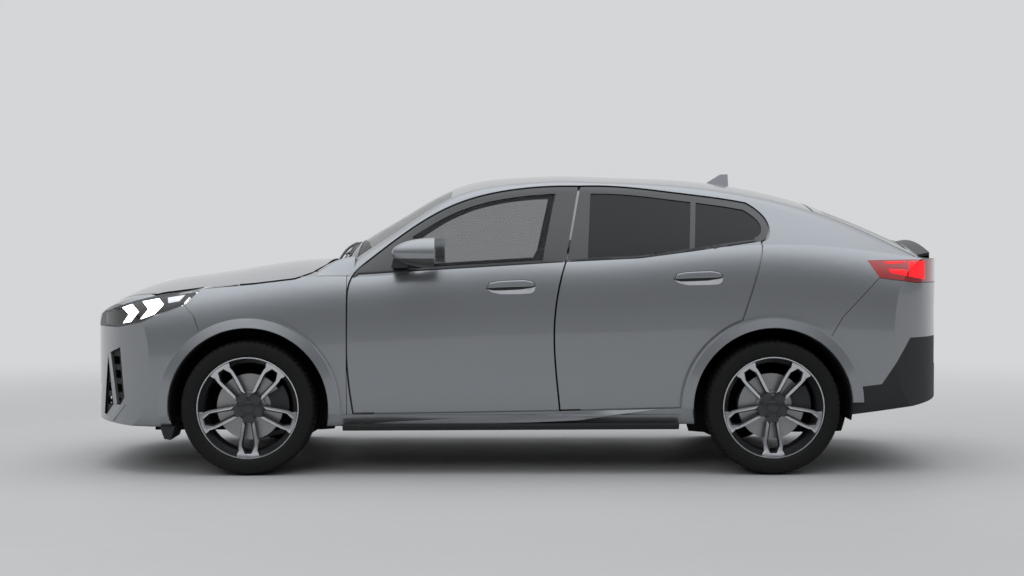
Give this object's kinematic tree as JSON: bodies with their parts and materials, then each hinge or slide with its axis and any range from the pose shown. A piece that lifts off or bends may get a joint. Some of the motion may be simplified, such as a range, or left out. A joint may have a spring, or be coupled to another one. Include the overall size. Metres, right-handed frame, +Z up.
{
  "type": "coupe sport utility vehicle",
  "caption": "Road car with a sloping coupe roof, hinged doors, bonnet and tailgate, a steered front axle and rolling wheels.",
  "frame": {"origin": "on the ground, under the middle of the overall box", "axes": "+X from nose to tail, +Y from the left (driver's) side to the right side, +Z up"},
  "size_m": [4.554, 2.101, 1.5739],
  "materials": {
    "paint": "metallic gloss",
    "dark_trim": "gloss",
    "liner": "matt",
    "pressed_steel": "satin",
    "chassis": "satin",
    "engine_block": "cast",
    "glass": "clear, lightly tinted",
    "head_lens": "clear",
    "tail_lens": "gloss",
    "cabin_plastic": "grained",
    "seat": "satin",
    "alloy": "machined",
    "tyre": "matt",
    "brake": "machined"
  },
  "bodies": {
    "body": {"side_frame_left": "paint", "side_frame_right": "paint", "roof_panel": "paint", "floor_pan": "pressed_steel", "bulkhead": "pressed_steel", "front_wings": "paint", "front_bumper": "paint", "front_grilles": "dark_trim", "headlamps": "head_lens", "windscreen": "glass", "front_subframe": "chassis", "engine": "engine_block", "rear_axle": "chassis", "rear_bumper": "paint", "rear_diffuser": "dark_trim", "tail_lamps": "tail_lens", "arch_trims": "paint", "sill_trims": "paint", "arch_liners": "liner", "dashboard": "cabin_plastic", "front_seats": "seat", "rear_seat": "seat"},
    "steer_left": {"knuckle_left": "chassis"},
    "steer_right": {"knuckle_right": "chassis"},
    "wheel_front_left": {"front_rim_left": "alloy", "front_tyre_left": "tyre", "front_disc_left": "brake"},
    "wheel_front_right": {"front_rim_right": "alloy", "front_tyre_right": "tyre", "front_disc_right": "brake"},
    "wheel_rear_left": {"rear_rim_left": "alloy", "rear_tyre_left": "tyre", "rear_disc_left": "brake"},
    "wheel_rear_right": {"rear_rim_right": "alloy", "rear_tyre_right": "tyre", "rear_disc_right": "brake"},
    "door_front_left": {"front_door_left": "paint", "front_door_glass_left": "glass", "mirror_left": "paint"},
    "door_front_right": {"front_door_right": "paint", "front_door_glass_right": "glass", "mirror_right": "paint"},
    "door_rear_left": {"rear_door_left": "paint", "rear_door_glass_left": "glass"},
    "door_rear_right": {"rear_door_right": "paint", "rear_door_glass_right": "glass"},
    "bonnet": {"bonnet": "paint"},
    "tailgate": {"tailgate": "paint", "rear_glass": "glass", "spoiler": "dark_trim"},
    "steering_wheel": {"steering_wheel": "cabin_plastic"}
  },
  "joints": [
    {"name": "steer_left", "type": "hinge", "parent": "body", "child": "steer_left", "pos_m": [-1.387, -0.75, 0.346], "axis": [0, 0, 1], "range_deg": [-35, 35]},
    {"name": "steer_right", "type": "hinge", "parent": "body", "child": "steer_right", "pos_m": [-1.387, 0.75, 0.346], "axis": [0, 0, 1], "range_deg": [-35, 35]},
    {"name": "spin_front_left", "type": "hinge", "parent": "steer_left", "child": "wheel_front_left", "pos_m": [-1.387, -0.796, 0.346], "axis": [0, -1, 0], "continuous": true},
    {"name": "spin_front_right", "type": "hinge", "parent": "steer_right", "child": "wheel_front_right", "pos_m": [-1.387, 0.796, 0.346], "axis": [0, -1, 0], "continuous": true},
    {"name": "spin_rear_left", "type": "hinge", "parent": "body", "child": "wheel_rear_left", "pos_m": [1.305, -0.796, 0.346], "axis": [0, -1, 0], "continuous": true},
    {"name": "spin_rear_right", "type": "hinge", "parent": "body", "child": "wheel_rear_right", "pos_m": [1.305, 0.796, 0.346], "axis": [0, -1, 0], "continuous": true},
    {"name": "door_front_left_hinge", "type": "hinge", "parent": "body", "child": "door_front_left", "pos_m": [-0.779, -0.8645, 0.73], "axis": [0, 0, -1], "range_deg": [0, 65]},
    {"name": "door_front_right_hinge", "type": "hinge", "parent": "body", "child": "door_front_right", "pos_m": [-0.779, 0.8645, 0.73], "axis": [0, 0, 1], "range_deg": [0, 65]},
    {"name": "door_rear_left_hinge", "type": "hinge", "parent": "body", "child": "door_rear_left", "pos_m": [0.285, -0.8645, 0.73], "axis": [0, 0, -1], "range_deg": [0, 65]},
    {"name": "door_rear_right_hinge", "type": "hinge", "parent": "body", "child": "door_rear_right", "pos_m": [0.285, 0.8645, 0.73], "axis": [0, 0, 1], "range_deg": [0, 65]},
    {"name": "bonnet_hinge", "type": "hinge", "parent": "body", "child": "bonnet", "pos_m": [-0.89, 0, 1.04], "axis": [0, 1, 0], "range_deg": [0, 45]},
    {"name": "tailgate_hinge", "type": "hinge", "parent": "body", "child": "tailgate", "pos_m": [1.506, 0, 1.384], "axis": [0, -1, 0], "range_deg": [0, 75]},
    {"name": "steering_wheel_turn", "type": "hinge", "parent": "body", "child": "steering_wheel", "pos_m": [-0.432, -0.37, 0.95], "axis": [0.9135, 0, 0.4067], "range_deg": [-490, 490]}
  ],
  "couplings": [
    {"joint": "steer_right", "follows": "steer_left", "ratio": 1},
    {"joint": "steering_wheel_turn", "follows": "steer_left", "ratio": 14}
  ]
}
